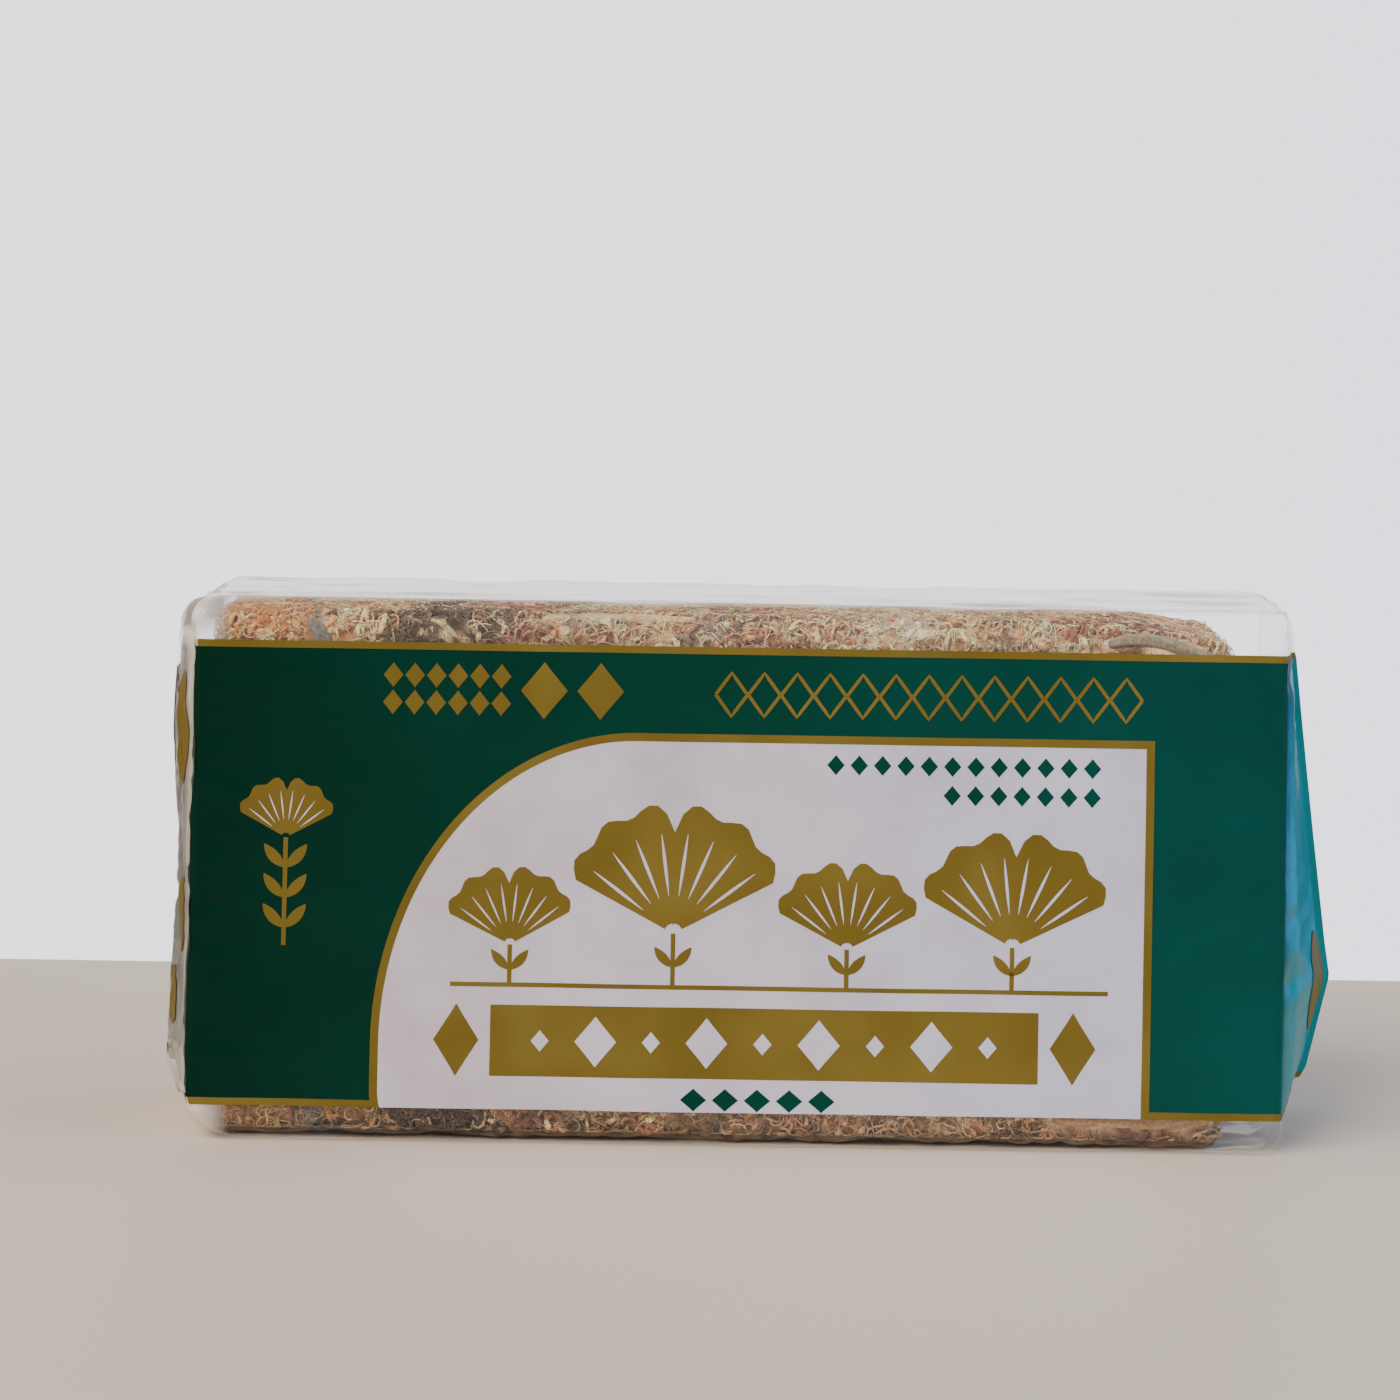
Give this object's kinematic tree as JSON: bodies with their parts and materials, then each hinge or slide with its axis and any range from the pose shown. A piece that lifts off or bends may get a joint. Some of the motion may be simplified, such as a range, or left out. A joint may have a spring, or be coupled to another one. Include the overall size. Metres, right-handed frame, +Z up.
{
  "type": "sphagnum moss brick in film bag",
  "caption": "Block of dried, pressed sphagnum moss in a clear film bag with a plain printed band, standing on its long narrow side.",
  "frame": {"origin": "middle of the bottom of the whole object's box, on the surface it stands on", "axes": "+X along the bag towards its right end as seen from the front, +Y from the front panel to the back, +Z up"},
  "size_m": [0.259, 0.0649, 0.121],
  "materials": {
    "clear_film": "clear glossy film with a green printed band",
    "green_ink": "dark green ink under glossy film",
    "gold_ink": "dull gold ink under glossy film",
    "white_ink": "white ink under glossy film",
    "dried_moss": "dry, shaggy strands, tan with cream and brown",
    "straw": "dry straw",
    "twig": "weathered grey-green twig",
    "stick": "bare tan stick",
    "bark": "grey bark flake",
    "cream_moss": "pale dry moss sprig"
  },
  "bodies": {
    "root": {"film_bag": "clear_film", "moss_block": "dried_moss", "straw_stem": "straw", "woody_twig": "twig", "low_stick": "stick", "bark_flake": "bark", "pale_sprig": "cream_moss"}
  },
  "joints": []
}
